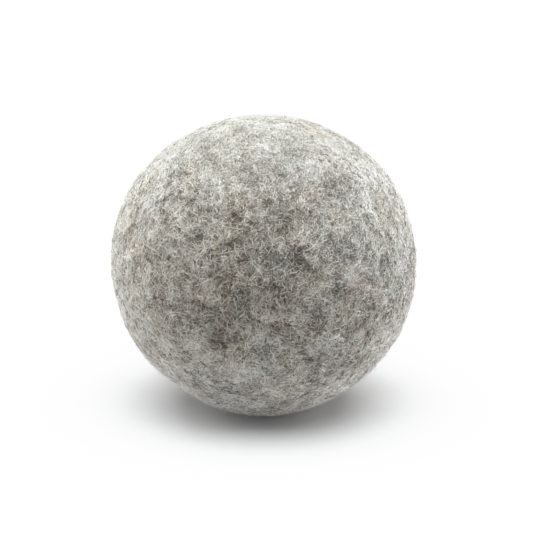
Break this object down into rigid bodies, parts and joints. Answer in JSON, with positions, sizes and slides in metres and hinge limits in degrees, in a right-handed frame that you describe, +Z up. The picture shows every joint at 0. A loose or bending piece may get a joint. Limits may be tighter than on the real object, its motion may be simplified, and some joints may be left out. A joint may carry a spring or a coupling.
{
  "type": "dryer ball",
  "caption": "Solid felted-wool ball for a tumble dryer, resting on a small pressed flat; wool layers wrapped crosswise over a wool core.",
  "frame": {"origin": "the middle of the ball's box in plan, on the flat that the ball rests on", "axes": "+Z up, away from the flat that it rests on; -Y towards the front; +X to the right as seen from the front"},
  "size_m": [0.071, 0.0706, 0.069],
  "materials": {
    "core_wool": "matted scrap wool, charcoal brown",
    "inner_wool": "carded wool, cream grey",
    "middle_wool": "carded wool, mid grey",
    "outer_felt": "felted wool, marled warm grey with a soft fuzz"
  },
  "bodies": {
    "root": {"core_wad": "core_wool", "inner_wrap_left": "inner_wool", "inner_wrap_right": "inner_wool", "middle_wrap_front": "middle_wool", "middle_wrap_back": "middle_wool", "outer_wrap_bottom": "outer_felt", "outer_wrap_top": "outer_felt"}
  },
  "joints": []
}
